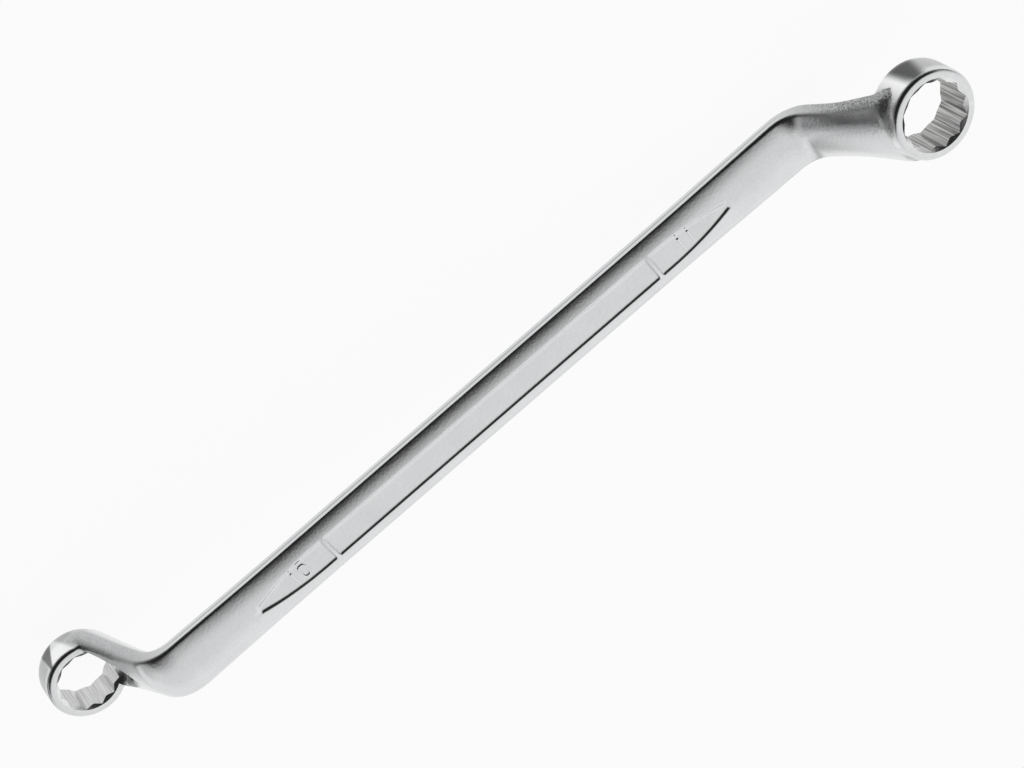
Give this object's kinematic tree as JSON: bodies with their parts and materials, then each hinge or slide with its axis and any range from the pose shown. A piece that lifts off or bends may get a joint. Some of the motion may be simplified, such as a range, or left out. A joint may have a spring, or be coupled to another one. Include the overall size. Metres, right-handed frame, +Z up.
{
  "type": "ring spanner",
  "caption": "Double-ended cranked ring spanner: flat oval shank, raised and dropped twelve-point rings, sunk panel on each face, satin chrome.",
  "frame": {"origin": "middle of the bounding box, on the bench the spanner lies on", "axes": "+X along the spanner towards the larger ring, +Z up from the bench, Y=0 is the mirror plane through both ring axes"},
  "size_m": [0.1962, 0.0162, 0.0245],
  "materials": {
    "satin_chrome": "satin"
  },
  "bodies": {
    "root": {"spanner_forging": "satin_chrome"}
  },
  "joints": []
}
